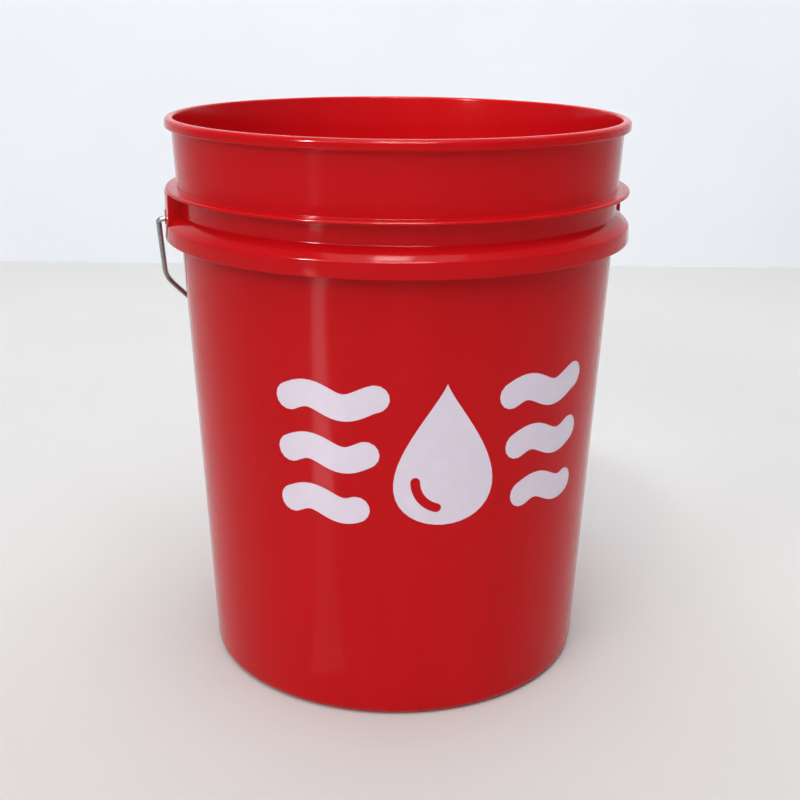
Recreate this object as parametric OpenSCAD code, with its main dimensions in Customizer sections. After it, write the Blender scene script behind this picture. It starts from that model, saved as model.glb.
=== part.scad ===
// Wash bucket: a one-piece moulded pail, a swinging wire bail, a hand grip that
// turns on the bail, and a graphic printed on the front of the wall.
// +Z is up and the origin is the centre of the foot plane. The two lugs that carry
// the bail are on the X axis, the print faces -Y, and the bail hangs at the back (+Y).

/* [Pail wall] */
// Height from the foot plane to the top of the rim
pail_h = 368; // [350:1:400]
// Outside diameter of the tapered wall where it would meet the foot plane
foot_d = 257.4; // [250:0.1:264]
// Lean of the wall from upright, in degrees
taper = 2.75; // [2.5:0.05:3]
// Thickness of the wall
wall_t = 2.4; // [1.8:0.1:3]

/* [Rim bead] */
// How far the bead stands out from the wall
bead_out = 3.9; // [3.6:0.1:6]
// Height of the bead
bead_h = 6.5; // [5.6:0.1:9]

/* [Floor] */
// Thickness of the floor
floor_t = 2.5; // [2:0.1:4]
// Height of the floor's underside above the foot plane
recess_h = 3; // [2.4:0.1:6]
// Width of the flat ring that the pail stands on
foot_ring_w = 9; // [5:0.5:14]
// Radius of the corner between the foot ring and the wall
base_corner_r = 6; // [4:0.5:9]

/* [Stacking flange and skirt] */
// Height of the flange's underside above the foot plane
flange_z = 321.9; // [320:0.1:330]
// Thickness of the flange
flange_t = 2.1; // [1.8:0.1:3]
// Outside radius of the flange
flange_r = 151.7; // [150:0.1:152]
// Height where the shoulder above the skirt leaves the wall
crease_z = 309; // [307:0.1:310]
// Height of the skirt's lower edge
skirt_z = 291.5; // [288:0.1:294]
// Outside radius of the skirt at its lower edge
skirt_r = 152.7; // [152.2:0.1:154]
// Thickness of the skirt
skirt_t = 2.2; // [1.8:0.1:2.6]
// Number of gussets under the shoulder
gusset_count = 20; // [12:4:24]

/* [Lugs] */
// Half the angle that a lug covers, in degrees
lug_half = 6.4; // [6:0.1:8]
// Thickness of a lug's sides and outer wall
lug_t = 2.2; // [1.8:0.1:2.6]
// Height of the bail's swing axis
pivot_z = 304.2; // [304:0.1:307]
// Radius of the raised pad around the bail hole
pad_r = 4.6; // [3.8:0.1:5]

/* [Bail] */
// Diameter of the bail wire
wire_d = 3.5; // [3:0.1:3.8]
// Radial clearance of the wire in its holes
running_gap = 0.1; // [0.05:0.01:0.1]
// Inward lean of a leg, in degrees
leg_lean = 3.6; // [3:0.1:4.4]
// Length of the straight part of a leg
leg_len = 60; // [56:0.5:70]
// Turn at the knee, in degrees
knee_turn = 22.5; // [12:0.5:23]
// Turn of the long bow between the knee and the shoulder, in degrees
bow_turn = 23.5; // [20:0.5:38]
// Length of the straight stretch that carries the grip
grip_seat = 104; // [100:1:110]

/* [Grip] */
// Length of the grip
grip_len = 98; // [90:1:99]
// Outside radius of the grip's end collars
grip_r = 11; // [10:0.1:12]
// Number of flutes along the grip
flute_count = 10; // [6:1:12]

/* [Printed graphic] */
// Thickness of the ink film
ink_t = 0.2; // [0.15:0.05:0.3]
// Height of the graphic's middle above the foot plane
print_z = 181.5; // [170:0.5:195]
// Height of the graphic
print_h = 91; // [80:1:100]
// Width of the graphic, measured round the wall
print_w = 208; // [200:1:240]

/* [Hidden] */
$fn = 64;
arc_steps = 8;
overlap = 0.5;

floor_z = recess_h + floor_t;
floor_corner_r = 5;
recess_slope_w = 2.5;
fillet_r = 0.8;
flange_top = flange_z + flange_t;
flange_low_r = 0.5;
flange_edge_r = 1.5;
flange_fillet_r = 0.4;

bead_r = wall_r(pail_h) + bead_out;
bead_edge_r = 2.7;
bead_foot_r = 1.3;
lip_r = 1.5;
lip_overhang = 1.7;
lip_depth = 12;

shoulder_corner_r = 2.4;
shoulder_corner_turn = 41;
shoulder_drop = 8.6;
shoulder_t = 4.7;
shoulder_crown = 0.4;
shoulder_under_crown = 0.8;
crease_r = 1;
crease_turn = 59;
skirt_lean = 0.3;
skirt_edge_r = 0.6;

pad_proud = 0.5;
pad_lift = 1.2;
lug_inset = 0.5;
lug_r = skirt_r - lug_inset;
lug_in_r = lug_r - lug_t;
pocket_half = lug_half - lug_t / lug_r * 180 / PI;

wire_r = wire_d / 2;
end_bend_r = 3.6;
knee_r = 50;
joint_gap = 0.05;
joint_swell = 0.02;
shoulder_bend_r = 10;
end_bend_u = lug_r + pad_proud + 0.3;
head_r = 3.1;
head_t = 1.8;
head_gap = 0.2;
head_u = lug_in_r - head_gap - head_t;
knee_lean = leg_lean + knee_turn;
bow_lean = knee_lean + bow_turn;
knee_u = end_bend_u + end_bend_r * cos(leg_lean) - leg_len * sin(leg_lean)
    - knee_r * (cos(leg_lean) - cos(knee_lean));
knee_v = end_bend_r * (1 + sin(leg_lean)) + leg_len * cos(leg_lean)
    + knee_r * (sin(knee_lean) - sin(leg_lean));
bow_r = (knee_u - grip_seat / 2 - shoulder_bend_r * cos(bow_lean)) / (cos(knee_lean) - cos(bow_lean));
bail_reach = knee_v + bow_r * (sin(bow_lean) - sin(knee_lean))
    + shoulder_bend_r * (1 - sin(bow_lean));

barrel_r = grip_r - 0.9;
flute_r = 2.4;
flute_depth = 0.7;

// The ink starts this far off the wall, so that the two solids share no volume.
ink_gap = 0.01;
ripple_h = 3.6;

// The bail hangs with its grip just clear of the back wall.
rest_gap = 0.6;
hang = asin((cos(taper) * wall_r(pivot_z) + grip_r + rest_gap) / bail_reach) - taper;

// Outside and inside radius of the tapered wall at a height.
function wall_r(z) = foot_d / 2 + z * tan(taper);
function inner_r(z) = wall_r(z) - wall_t;

// Points of a round corner about a centre, between two angles.
function arc(centre, r, from, to, n = arc_steps) =
    [for (i = [0:n]) let (a = from + (to - from) * i / n) centre + r * [cos(a), sin(a)]];

// Points of a shallow curve from a to b that bulges to the left by the sagitta s.
function bow(a, b, s, n = arc_steps) =
    let (d = b - a, left = [-d[1], d[0]] / norm(d))
    [for (i = [0:n]) let (t = i / n) a + d * t + left * s * 4 * t * (1 - t)];

// The pail's half section, as [radius, height], in order round its outline.
underside = [
    [0, recess_h],
    [foot_ring_in() - recess_slope_w, recess_h],
    [foot_ring_in(), 0]
];
function foot_ring_in() = foot_corner()[0] - foot_ring_w;
function foot_corner() =
    [wall_r(base_corner_r) - base_corner_r / cos(taper), base_corner_r];

skirt_section = concat(
    bow(
        [wall_r(crease_z - shoulder_t), crease_z - shoulder_t],
        [skirt_r - skirt_t - skirt_lean, crease_z - shoulder_drop],
        -shoulder_under_crown
    ),
    arc([skirt_r - skirt_t + skirt_edge_r, skirt_z + skirt_edge_r], skirt_edge_r, 180, 270, 4),
    arc([skirt_r - skirt_edge_r, skirt_z + skirt_edge_r], skirt_edge_r, 270, 360, 4),
    arc(
        [skirt_r - skirt_lean - shoulder_corner_r, crease_z - shoulder_drop],
        shoulder_corner_r, 0, shoulder_corner_turn
    )
);
crease_centre = [
    wall_r(crease_z) + crease_r,
    crease_z + crease_r * (1 - cos(crease_turn)) / sin(crease_turn)
];
shoulder_section = concat(
    bow(
        skirt_section[len(skirt_section) - 1],
        crease_centre - crease_r * [cos(crease_turn), sin(crease_turn)],
        -shoulder_crown
    ),
    arc(crease_centre, crease_r, 180 + crease_turn, 180 - taper, 5)
);
flange_section = concat(
    arc([wall_r(flange_z) + fillet_r, flange_z - fillet_r], fillet_r, 180, 90, 4),
    arc([flange_r - flange_low_r, flange_z + flange_low_r], flange_low_r, 270, 360, 4),
    arc([flange_r - flange_edge_r, flange_top - flange_edge_r], flange_edge_r, 0, 90),
    arc([wall_r(flange_top) + flange_fillet_r, flange_top + flange_fillet_r], flange_fillet_r, 270, 180, 3)
);
bead_section = concat(
    arc([wall_r(pail_h - bead_h) + fillet_r, pail_h - bead_h - fillet_r], fillet_r, 180, 90, 4),
    arc([bead_r - bead_foot_r, pail_h - bead_h + bead_foot_r], bead_foot_r, 270, 360, 6),
    arc([bead_r - bead_edge_r, pail_h - bead_edge_r], bead_edge_r, 0, 90),
    arc([inner_r(pail_h) + lip_overhang * 0.5 + lip_r, pail_h - lip_r], lip_r, 90, 180, 6)
);
inside = concat(
    [[inner_r(pail_h - lip_depth), pail_h - lip_depth]],
    arc(
        [inner_r(floor_z + floor_corner_r) - floor_corner_r, floor_z + floor_corner_r],
        floor_corner_r, 0, -90
    ),
    [[0, floor_z]]
);
pail_section = concat(
    underside,
    arc(foot_corner(), base_corner_r, -90, -taper),
    skirt_section,
    shoulder_section,
    flange_section,
    bead_section,
    inside
);

// A sector of a turned section, centred on +X.
module sector(half, section) {
    rotate([0, 0, -half])
        rotate_extrude(angle = 2 * half)
            polygon(section);
}

// The solid that a lug is hollowed from: it runs from the skirt to the flange.
module lug_block() {
    low = skirt_z + 1.5;
    sector(lug_half, [
        [wall_r(low) - overlap, low],
        [lug_r, low],
        [lug_r, flange_z - fillet_r],
        [flange_r - lug_inset, flange_z + overlap],
        [wall_r(flange_z) - overlap, flange_z + overlap]
    ]);
}

// The lug's pocket, open below, which holds the end of the wire.
module lug_pocket() {
    low = skirt_z - 1;
    sector(pocket_half, [
        [wall_r(low) + 0.2, low],
        [lug_in_r, low],
        [lug_in_r, flange_z],
        [wall_r(flange_z) + 0.2, flange_z]
    ]);
}

module lug_pad() {
    translate([lug_in_r + overlap, 0, pivot_z + pad_lift])
        rotate([0, 90, 0])
            cylinder(r = pad_r, h = lug_t + pad_proud - overlap);
}

module bail_hole() {
    translate([lug_in_r - 3, 0, pivot_z])
        rotate([0, 90, 0])
            cylinder(r = wire_r + running_gap, h = 10);
}

// Thin plates that tie the skirt to the wall, clear of the lugs.
module gussets() {
    step = 360 / gusset_count;
    gusset_t = 1.6;
    top = crease_z - shoulder_t;
    low_in = top - 12;
    low_out = skirt_z + 4;
    for (i = [0:gusset_count - 1])
        rotate([90, 0, (i + 0.5) * step])
            linear_extrude(height = gusset_t, center = true)
                polygon([
                    [wall_r(low_in) - overlap, low_in],
                    [skirt_r - skirt_t + overlap, low_out],
                    [skirt_r - skirt_t + overlap, crease_z - shoulder_drop + overlap],
                    [wall_r(top) - overlap, top + overlap]
                ]);
}

// Rings and spokes that stiffen the floor from below, clear of the ground.
module floor_ribs() {
    rib_w = 1.6;
    rib_h = 1.4;
    ring_radii = [45, 84];
    hub_r = 9;
    gate_r = 2;
    gate_drop = 0.7;
    low = recess_h - rib_h;
    for (r = ring_radii)
        translate([0, 0, low])
            difference() {
                cylinder(r = r + rib_w, h = rib_h + overlap);
                translate([0, 0, -1])
                    cylinder(r = r, h = rib_h + overlap + 2);
            }
    for (a = [0:30:330])
        rotate([0, 0, a])
            translate([hub_r - overlap, -rib_w / 2, low])
                cube([foot_ring_in() - rib_w - hub_r, rib_w, rib_h + overlap]);
    translate([0, 0, low])
        cylinder(r = hub_r, h = rib_h + overlap);
    translate([0, 0, low - gate_drop])
        cylinder(r = gate_r, h = rib_h);
}

module pail() {
    color("firebrick")
        difference() {
            union() {
                rotate([0, 0, 90])
                    rotate_extrude($fn = 180)
                        polygon(pail_section);
                gussets();
                floor_ribs();
                for (side = [0, 180])
                    rotate([0, 0, side]) {
                        lug_block();
                        lug_pad();
                    }
            }
            for (side = [0, 180])
                rotate([0, 0, side]) {
                    lug_pocket();
                    bail_hole();
                }
        }
}

// A wire that starts along +Y and turns left. Each step is a straight length,
// then a bend given by its radius and its turn. The pieces stop a little short of
// each other, and a ball at each joint makes them one.
module wire(steps, i = 0) {
    if (i < len(steps)) {
        run = steps[i][0];
        r = steps[i][1];
        turn = steps[i][2];
        short_turn = joint_gap / r * 180 / PI;
        if (run > 0) {
            rotate([-90, 0, 0])
                translate([0, 0, joint_gap])
                    cylinder(r = wire_r, h = run - 2 * joint_gap);
            translate([0, run, 0])
                joint_ball();
        }
        translate([-r, run, 0]) {
            rotate([0, 0, short_turn])
                rotate_extrude(angle = turn - 2 * short_turn)
                    translate([r, 0])
                        circle(r = wire_r);
            rotate([0, 0, turn])
                translate([r, 0, 0]) {
                    joint_ball();
                    wire(steps, i + 1);
                }
        }
    }
}

module joint_ball() {
    sphere(r = wire_r + joint_swell);
}

// Half of the bail, flat in the XY plane with the swing axis along X.
module half_bail() {
    translate([head_u, 0, 0])
        rotate([0, 0, -90]) {
            rotate([-90, 0, 0])
                cylinder(r = head_r, h = head_t);
            wire([
                [end_bend_u - head_u, end_bend_r, 90 + leg_lean],
                [leg_len, knee_r, knee_turn],
                [0, bow_r, bow_turn],
                [0, shoulder_bend_r, 90 - bow_lean]
            ]);
        }
}

// Turns and lifts a flat bail or its grip into the hanging place.
module hung() {
    translate([0, 0, pivot_z])
        rotate([hang - 90, 0, 0])
            children();
}

module bail() {
    color("silver")
        hung() {
            half_bail();
            mirror([1, 0, 0])
                half_bail();
            translate([joint_gap - grip_seat / 2, bail_reach, 0])
                rotate([0, 90, 0])
                    cylinder(r = wire_r, h = grip_seat - 2 * joint_gap);
        }
}

// The grip's half section, as [radius, distance along it], from end to end.
function grip_section() =
    let (
        bore = wire_r + running_gap,
        end = grip_len / 2,
        collar_w = 4,
        collar_r = grip_r - barrel_r,
        end_r = 1.2
    )
    concat(
        [[bore, -end]],
        arc([grip_r - end_r, -end + end_r], end_r, 270, 360, 4),
        arc([barrel_r, -end + collar_w], collar_r, 0, 90, 4),
        arc([barrel_r, end - collar_w], collar_r, 270, 360, 4),
        arc([grip_r - end_r, end - end_r], end_r, 0, 90, 4),
        [[bore, end]]
    );

// The ring-shaped hollow that is cored out of one end of the grip.
module grip_core() {
    shell_t = 2;
    hub_r = wire_r + running_gap + 1.8;
    web_t = 1.6;
    depth = 38;
    difference() {
        rotate_extrude()
            translate([hub_r, grip_len / 2 - depth])
                square([barrel_r - shell_t - hub_r, depth + 1]);
        for (a = [0, 90])
            rotate([0, 0, a])
                translate([-grip_r, -web_t / 2, 0])
                    cube([2 * grip_r, web_t, grip_len]);
    }
}

module grip() {
    flute_len = grip_len - 14;
    color("whitesmoke")
        hung()
            translate([0, bail_reach, 0])
                rotate([0, 90, 0])
                    difference() {
                        rotate_extrude()
                            polygon(grip_section());
                        grip_core();
                        mirror([0, 0, 1])
                            grip_core();
                        for (i = [0:flute_count - 1])
                            rotate([0, 0, (i + 0.5) * 360 / flute_count])
                                translate([barrel_r + flute_r - flute_depth, 0, -flute_len / 2])
                                    cylinder(r = flute_r, h = flute_len);
                    }
}

// A band of constant width along a path, with round ends, as one outline.
function band(path, w) =
    let (
        last = len(path) - 1,
        go = [for (i = [0:last]) path[min(i + 1, last)] - path[max(i - 1, 0)]],
        heading = [for (d = go) atan2(d[1], d[0])]
    )
    concat(
        [for (i = [0:last]) path[i] + w / 2 * [cos(heading[i] - 90), sin(heading[i] - 90)]],
        arc(path[last], w / 2, heading[last] - 75, heading[last] + 75, 6),
        [for (i = [last:-1:0]) path[i] + w / 2 * [cos(heading[i] + 90), sin(heading[i] + 90)]],
        arc(path[0], w / 2, heading[0] + 105, heading[0] + 255, 6)
    );

// A stripe that ripples like water, from one place to another round the wall.
function ripple(from, to, z) =
    let (steps = 20, wave_len = 46)
    [for (i = [0:steps])
        let (s = from + (to - from) * i / steps)
        [s, z + ripple_h * sin(360 * (s - from) / wave_len)]];

// A drop of water with its point at the top.
function drop(w, h) =
    let (steps = 48, fullness = 0.72)
    [for (i = [0:steps - 1])
        let (t = 360 * i / steps)
        [fullness * w * sin(t) * pow(sin(t / 2), 1.5), print_z + h / 2 * cos(t)]];

// Bends an outline, drawn as [distance round the wall, height], onto the wall's
// curve as it is seen from straight in front.
function round_wall(outline) =
    [for (q = outline) [wall_r(q[1]) * sin(q[0] / wall_r(print_z) * 180 / PI), q[1]]];

// The thin ring of ink that the graphic is cut from.
module ink_ring() {
    low = print_z - print_h;
    high = print_z + print_h;
    rotate([0, 0, -150])
        rotate_extrude(angle = 120, $fn = 180)
            polygon([
                [wall_r(low) + ink_gap, low],
                [wall_r(low) + ink_t, low],
                [wall_r(high) + ink_t, high],
                [wall_r(high) + ink_gap, high]
            ]);
}

module printed_graphic() {
    drop_w = 62;
    stripe_w = 17;
    stripe_gap = 17;
    stripe_slant = 6;
    stripe_step = (print_h - stripe_w) / 2 - ripple_h;
    gleam_r = 18;
    gleam_w = 6;
    gleam_z = print_z - print_h / 2 + 29;
    far = (print_w - stripe_w) / 2;
    color("white")
        intersection() {
            ink_ring();
            rotate([90, 0, 0])
                linear_extrude(height = skirt_r) {
                    difference() {
                        polygon(round_wall(drop(drop_w, print_h)));
                        polygon(round_wall(band(arc([0, gleam_z], gleam_r, 180, 255, 12), gleam_w)));
                    }
                    for (side = [-1, 1], row = [-1:1]) {
                        near = drop_w / 2 + stripe_gap - row * stripe_slant;
                        from = side > 0 ? near : -far;
                        to = side > 0 ? far : -near;
                        polygon(round_wall(band(ripple(from, to, print_z + row * stripe_step), stripe_w)));
                    }
                }
        }
}

pail();
bail();
grip();
printed_graphic();
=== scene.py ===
"""Wash bucket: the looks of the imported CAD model, in metres and in its own frame.

The pail, the wire bail, the grip and the print are refined meshes that stand for their
CAD nodes and ride on their bodies. Everything is procedural.
"""

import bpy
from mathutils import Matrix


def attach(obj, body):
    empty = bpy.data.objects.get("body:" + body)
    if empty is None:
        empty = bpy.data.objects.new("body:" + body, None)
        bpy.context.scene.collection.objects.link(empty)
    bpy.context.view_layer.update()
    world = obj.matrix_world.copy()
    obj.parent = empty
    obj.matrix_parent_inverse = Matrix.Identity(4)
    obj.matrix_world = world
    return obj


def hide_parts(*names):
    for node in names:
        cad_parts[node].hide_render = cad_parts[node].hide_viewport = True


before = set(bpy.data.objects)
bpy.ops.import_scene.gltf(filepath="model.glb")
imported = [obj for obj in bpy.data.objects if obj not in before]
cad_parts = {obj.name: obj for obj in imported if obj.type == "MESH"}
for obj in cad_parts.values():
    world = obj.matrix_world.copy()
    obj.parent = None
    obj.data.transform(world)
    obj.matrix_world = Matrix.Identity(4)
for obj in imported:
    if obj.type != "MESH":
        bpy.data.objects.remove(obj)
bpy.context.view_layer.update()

import math

import bmesh
import bpy
from mathutils import Matrix, Vector

# The view: the camera stands in front of the bucket and a little to its left.
CAMERA_AZIMUTH = -12.5
CAMERA_DISTANCE = 0.8211
CAMERA_HEIGHT = 0.442
CAMERA_PITCH = 18.2
CAMERA_HEADING = 0.2
CAMERA_ROLL = 0.49
LENS_MM = 55.5
SENSOR_MM = 36.0

# The room: a floor at height 0 and one wall behind the bucket.
ROOM_HALF = 3.0
WALL_BACK = 1.27
WALL_HEIGHT = 2.0


# --- stage, light and camera -------------------------------------------------------


def from_camera(azimuth, distance, height):
    """A place round the bucket, where azimuth 0 is the camera's side and 90 its right."""
    angle = math.radians(CAMERA_AZIMUTH + azimuth)
    return Vector((distance * math.sin(angle), -distance * math.cos(angle), height))


def add_object(name, data):
    piece = bpy.data.objects.new(name, data)
    bpy.context.scene.collection.objects.link(piece)
    return piece


def make_camera():
    data = bpy.data.cameras.new("camera")
    data.lens = LENS_MM
    data.sensor_width = SENSOR_MM
    data.clip_start = 0.05
    data.clip_end = 20.0
    camera = add_object("camera", data)
    turn = (
        Matrix.Rotation(math.radians(CAMERA_AZIMUTH - CAMERA_HEADING), 4, "Z")
        @ Matrix.Rotation(math.radians(90.0 - CAMERA_PITCH), 4, "X")
        @ Matrix.Rotation(math.radians(CAMERA_ROLL), 4, "Z")
    )
    place = Matrix.Translation(from_camera(0.0, CAMERA_DISTANCE, CAMERA_HEIGHT))
    camera.matrix_world = place @ turn
    bpy.context.scene.camera = camera


def make_sky():
    world = bpy.data.worlds.new("studio")
    bpy.context.scene.world = world
    world.use_nodes = True
    background = world.node_tree.nodes["Background"]
    background.inputs["Color"].default_value = (0.90, 0.94, 1.0, 1.0)
    background.inputs["Strength"].default_value = 0.39


def area_light(
    name, place, target, size, power, colour=(1.0, 1.0, 1.0), up=(0.0, 0.0, 1.0), gloss_only=False
):
    """A soft rectangular light that faces the target. size is its width and its height along up."""
    data = bpy.data.lights.new(name, "AREA")
    data.shape = "RECTANGLE"
    data.size, data.size_y = size
    data.energy = power
    data.color = colour
    light = add_object(name, data)
    back = (place - Vector(target)).normalized()
    right = Vector(up).cross(back).normalized()
    turn = Matrix((right, back.cross(right), back)).transposed().to_4x4()
    light.matrix_world = Matrix.Translation(place) @ turn
    light.visible_camera = False
    light.visible_diffuse = not gloss_only


def make_soft_lights():
    """Soft light from above and the front left, a weak fill on the floor, and a washed wall."""
    middle = (0.0, 0.0, 0.2)
    area_light("dome", from_camera(-4, 1.1, 4.2), middle, size=(3.2, 2.7), power=84)
    area_light("key", from_camera(-25, 3.0, 2.4), middle, size=(2.2, 1.6), power=48)
    floor_spot = from_camera(40, 0.3, 0.0)
    area_light("fill", from_camera(50, 1.2, 1.7), floor_spot, size=(1.2, 1.0), power=1.8)
    wall_spot = from_camera(180, 1.25, 0.75)
    sky_blue = (0.88, 0.94, 1.0)
    area_light(
        "wall_wash", from_camera(180, 0.6, 1.9), wall_spot, size=(2.4, 0.4), power=14, colour=sky_blue
    )


def make_mouth_light():
    """A soft pool of light on the inside of the back wall."""
    place = from_camera(-17, 0.8, 1.6)
    target = from_camera(163, 0.147, 0.31)
    data = bpy.data.lights.new("mouth", "SPOT")
    data.energy = 39
    data.spot_size = math.radians(15.0)
    data.spot_blend = 1.0
    data.shadow_soft_size = 0.1
    light = add_object("mouth", data)
    light.location = place
    light.rotation_euler = (target - place).to_track_quat("-Z", "Y").to_euler()
    light.visible_glossy = False


def slit_card(name, near, far, width, power):
    """A part of a narrow card that rises away from the bucket, from near to far along its length.

    The tapered wall sees it as an upright streak of light.
    """
    foot = from_camera(-22.7, 0.155, 0.008)
    head = from_camera(-36.8, 0.68, 0.15)
    start = foot.lerp(head, near)
    along = foot.lerp(head, far) - start
    middle = start + along / 2
    above = Vector((0.0, 0.0, 1.0))
    face = middle + above - along * above.dot(along) / along.dot(along)
    area_light(name, middle, face, (width, along.length), power, up=along, gloss_only=True)


def make_gloss_cards():
    """Bright cards that only show in the gloss: glints on the ledges, and a streak down the wall."""
    lug_height = (0.0, 0.0, 0.3)
    for name, place, size, power in (
        ("card_high", from_camera(-5, 0.64, 2.2), (0.40, 0.34), 12),
        ("card_front", from_camera(4, 1.2, 1.5), (0.70, 0.75), 46),
        ("card_left", from_camera(-43, 1.3, 0.95), (0.07, 0.5), 31),
    ):
        area_light(name, place, lug_height, size, power, gloss_only=True)
    slit_card("card_slit_near", 0.0, 0.3, width=0.036, power=0.011)
    slit_card("card_slit_far", 0.3, 1.0, width=0.056, power=0.35)
    slit_card("card_slit_end", 1.0, 1.7, width=0.075, power=0.07)


def stage_sheet(name, corners, material):
    """A four-cornered sheet of the room, turned to face the camera's side."""
    sheet = add_object(name, bpy.data.meshes.new(name))
    sheet.data.from_pydata(corners, [], [(0, 1, 2, 3)])
    sheet.data.transform(Matrix.Rotation(math.radians(CAMERA_AZIMUTH), 4, "Z"))
    sheet.data.materials.append(material)
    return sheet


def make_stage():
    """A plain pale floor and a plain pale wall behind it."""
    left, right = -ROOM_HALF, ROOM_HALF
    ground = [(left, left), (right, left), (right, WALL_BACK), (left, WALL_BACK)]
    upright = [(left, 0.0), (right, 0.0), (right, WALL_HEIGHT), (left, WALL_HEIGHT)]
    floor = stage_sheet(
        "floor", [(x, y, 0.0) for x, y in ground], stage_material("pale_floor", (0.64, 0.62, 0.60))
    )
    wall = stage_sheet(
        "wall", [(x, WALL_BACK, z) for x, z in upright], stage_material("pale_wall", (0.84, 0.865, 0.89))
    )


# --- materials ---------------------------------------------------------------------


class Nodes:
    """Short names for building one material's node tree."""

    def __init__(self, name):
        self.material = bpy.data.materials.new(name)
        self.material.use_nodes = True
        self.tree = self.material.node_tree
        self.shader = self.tree.nodes["Principled BSDF"]
        self.place = self.add("ShaderNodeTexCoord").outputs["Object"]

    def add(self, kind, **settings):
        node = self.tree.nodes.new(kind)
        for key, value in settings.items():
            setattr(node, key, value)
        return node

    def link(self, source, target):
        self.tree.links.new(source, target)

    def fixed(self, **values):
        """Sets the shader's own sockets, where _ stands for a space."""
        for key, value in values.items():
            self.shader.inputs[key.replace("_", " ")].default_value = value

    def varied(self, **sources):
        """Links node outputs to the shader's own sockets, where _ stands for a space."""
        for key, source in sources.items():
            self.link(source, self.shader.inputs[key.replace("_", " ")])

    def stretched(self, scale):
        node = self.add("ShaderNodeMapping")
        node.inputs["Scale"].default_value = scale
        self.link(self.place, node.inputs["Vector"])
        return node.outputs["Vector"]

    def noise(self, scale, detail=3.0, roughness=0.5, vector=None):
        node = self.add("ShaderNodeTexNoise")
        node.inputs["Scale"].default_value = scale
        node.inputs["Detail"].default_value = detail
        node.inputs["Roughness"].default_value = roughness
        self.link(vector or self.place, node.inputs["Vector"])
        return node.outputs["Fac"]

    def spread(self, value, low, high, to_low, to_high):
        """Maps a value from one range to another, clamped."""
        node = self.add("ShaderNodeMapRange")
        for key, number in zip(
            ("From Min", "From Max", "To Min", "To Max"), (low, high, to_low, to_high)
        ):
            node.inputs[key].default_value = number
        self.link(value, node.inputs["Value"])
        return node.outputs["Result"]

    def ramp(self, value, *stops):
        node = self.add("ShaderNodeValToRGB")
        elements = node.color_ramp.elements
        while len(elements) < len(stops):
            elements.new(0.5)
        for element, (position, colour) in zip(elements, stops):
            element.position = position
            element.color = (*colour, 1.0)
        self.link(value, node.inputs["Fac"])
        return node.outputs["Color"]

    def height(self):
        """The height above the ground, in metres."""
        node = self.add("ShaderNodeSeparateXYZ")
        self.link(self.place, node.inputs["Vector"])
        return node.outputs["Z"]

    def combined(self, operation, first, second):
        node = self.add("ShaderNodeMath", operation=operation)
        self.link(first, node.inputs[0])
        self.link(second, node.inputs[1])
        return node.outputs["Value"]

    def times(self, first, second):
        return self.combined("MULTIPLY", first, second)

    def plus(self, first, second):
        return self.combined("ADD", first, second)

    def blended(self, amount, base, colour):
        """The base colour with a fixed colour mixed in by the amount."""
        node = self.add("ShaderNodeMix", data_type="RGBA")
        self.link(amount, node.inputs["Factor"])
        self.link(base, node.inputs["A"])
        node.inputs["B"].default_value = (*colour, 1.0)
        return node.outputs["Result"]

    def bump(self, height, strength, distance, normal=None):
        node = self.add("ShaderNodeBump")
        node.inputs["Strength"].default_value = strength
        node.inputs["Distance"].default_value = distance
        self.link(height, node.inputs["Height"])
        if normal:
            self.link(normal, node.inputs["Normal"])
        return node.outputs["Normal"]


def stage_material(name, colour):
    nodes = Nodes(name)
    dark = tuple(0.97 * channel for channel in colour)
    nodes.varied(Base_Color=nodes.ramp(nodes.noise(2.5), (0.35, dark), (0.65, colour)))
    nodes.fixed(Roughness=0.75, Specular_IOR_Level=0.2)
    return nodes.material


def foot_scuffs(nodes):
    """How scuffed the plastic is, which fades out over the lowest 4 mm."""
    rubs = nodes.spread(nodes.noise(170.0, detail=6.0, roughness=0.7), 0.52, 0.66, 0.0, 0.5)
    return nodes.times(rubs, nodes.spread(nodes.height(), 0.0005, 0.004, 1.0, 0.0))


def handled_gloss(nodes, scuffed):
    """A glossy roughness with cloudy handling marks, hairlines round the wall, and the scuffs."""
    handling = nodes.spread(nodes.noise(9.0, detail=6.0, roughness=0.7), 0.35, 0.7, 0.10, 0.14)
    hairlines = nodes.noise(1.0, detail=2.0, vector=nodes.stretched((90.0, 90.0, 2600.0)))
    hairline_gloss = nodes.spread(hairlines, 0.60, 0.75, 0.0, 0.10)
    return nodes.plus(nodes.plus(handling, hairline_gloss), scuffed)


def red_plastic():
    """Glossy moulded polyethylene: faint flow streaks, a light orange peel, and scuffs at the foot."""
    nodes = Nodes("red_polyethylene")
    streaks = nodes.noise(1.0, vector=nodes.stretched((30.0, 30.0, 3.0)))
    red = nodes.ramp(streaks, (0.3, (0.53, 0.0042, 0.0066)), (0.7, (0.56, 0.0052, 0.0080)))
    scuffed = foot_scuffs(nodes)
    peel = nodes.bump(nodes.noise(500.0, detail=1.0), 0.05, 0.0001)
    nodes.varied(
        Base_Color=nodes.blended(scuffed, red, (0.60, 0.16, 0.15)),
        Roughness=handled_gloss(nodes, scuffed),
        Normal=nodes.bump(scuffed, 0.2, 0.0002, peel),
    )
    nodes.fixed(Specular_IOR_Level=0.10)
    return nodes.material


def galvanised_steel():
    """Zinc-plated drawn wire: mottled grey with fine marks."""
    nodes = Nodes("galvanised_steel")
    mottle = nodes.noise(260.0, detail=4.0)
    nodes.varied(
        Base_Color=nodes.ramp(mottle, (0.3, (0.20, 0.20, 0.20)), (0.7, (0.36, 0.355, 0.35))),
        Roughness=nodes.spread(mottle, 0.3, 0.7, 0.28, 0.45),
        Normal=nodes.bump(nodes.noise(900.0), 0.2, 0.0001),
    )
    nodes.fixed(Metallic=1.0)
    return nodes.material


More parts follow.
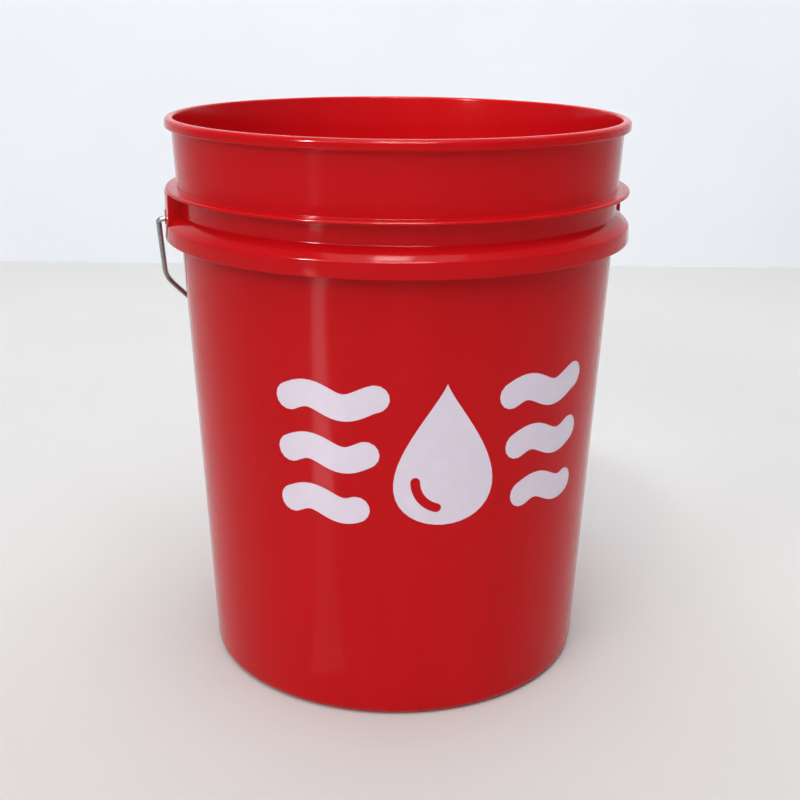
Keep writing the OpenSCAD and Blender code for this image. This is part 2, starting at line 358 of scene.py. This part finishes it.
def grip_plastic():
    """Natural white polyethylene with a satin, slightly handled surface."""
    nodes = Nodes("white_polyethylene")
    handled = nodes.noise(60.0, detail=5.0, roughness=0.6)
    nodes.varied(
        Base_Color=nodes.ramp(handled, (0.35, (0.70, 0.69, 0.65)), (0.7, (0.80, 0.80, 0.77))),
        Roughness=nodes.spread(handled, 0.3, 0.7, 0.38, 0.52),
        Normal=nodes.bump(nodes.noise(1200.0), 0.15, 0.0001),
    )
    return nodes.material


def print_ink():
    """Flat white screen ink with a hint of the red below it."""
    nodes = Nodes("white_ink")
    cover = nodes.noise(140.0, detail=5.0, roughness=0.65)
    nodes.varied(
        Base_Color=nodes.ramp(cover, (0.3, (0.745, 0.65, 0.75)), (0.65, (0.775, 0.68, 0.785))),
        Roughness=nodes.spread(cover, 0.3, 0.7, 0.38, 0.5),
        Normal=nodes.bump(nodes.noise(1500.0), 0.1, 0.00005),
    )
    return nodes.material


# --- pieces ------------------------------------------------------------------------


def refined(node, name, material):
    """A copy of a CAD node's mesh with its facets joined and smoothly shaded, which stands for it."""
    weld = 2e-6
    sharp_from = math.radians(32.0)
    shape = bmesh.new()
    shape.from_mesh(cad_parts[node].data)
    bmesh.ops.remove_doubles(shape, verts=shape.verts, dist=weld)
    mesh = bpy.data.meshes.new(name)
    shape.to_mesh(mesh)
    shape.free()
    cad_normals = mesh.attributes.get("custom_normal")
    if cad_normals:
        mesh.attributes.remove(cad_normals)
    mesh.shade_smooth()
    mesh.set_sharp_from_angle(angle=sharp_from)
    mesh.materials.clear()
    mesh.materials.append(material)
    piece = add_object(name, mesh)
    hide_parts(node)
    return piece


def make_pieces():
    for node, name, material, slot, body in (
        ("pail", "pail_moulding", red_plastic(), "red_plastic", "pail"),
        ("printed_graphic", "ink_film", print_ink(), "print_ink", "pail"),
        ("bail", "wire_bail", galvanised_steel(), "galvanised_wire", "bail"),
        ("grip", "hand_grip", grip_plastic(), "grip_plastic", "grip"),
    ):
        piece = refined(node, name, material)
        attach(piece, body)


make_camera()
make_stage()
make_sky()
make_soft_lights()
make_mouth_light()
make_gloss_cards()
make_pieces()
bpy.context.scene.view_settings.view_transform = "Standard"
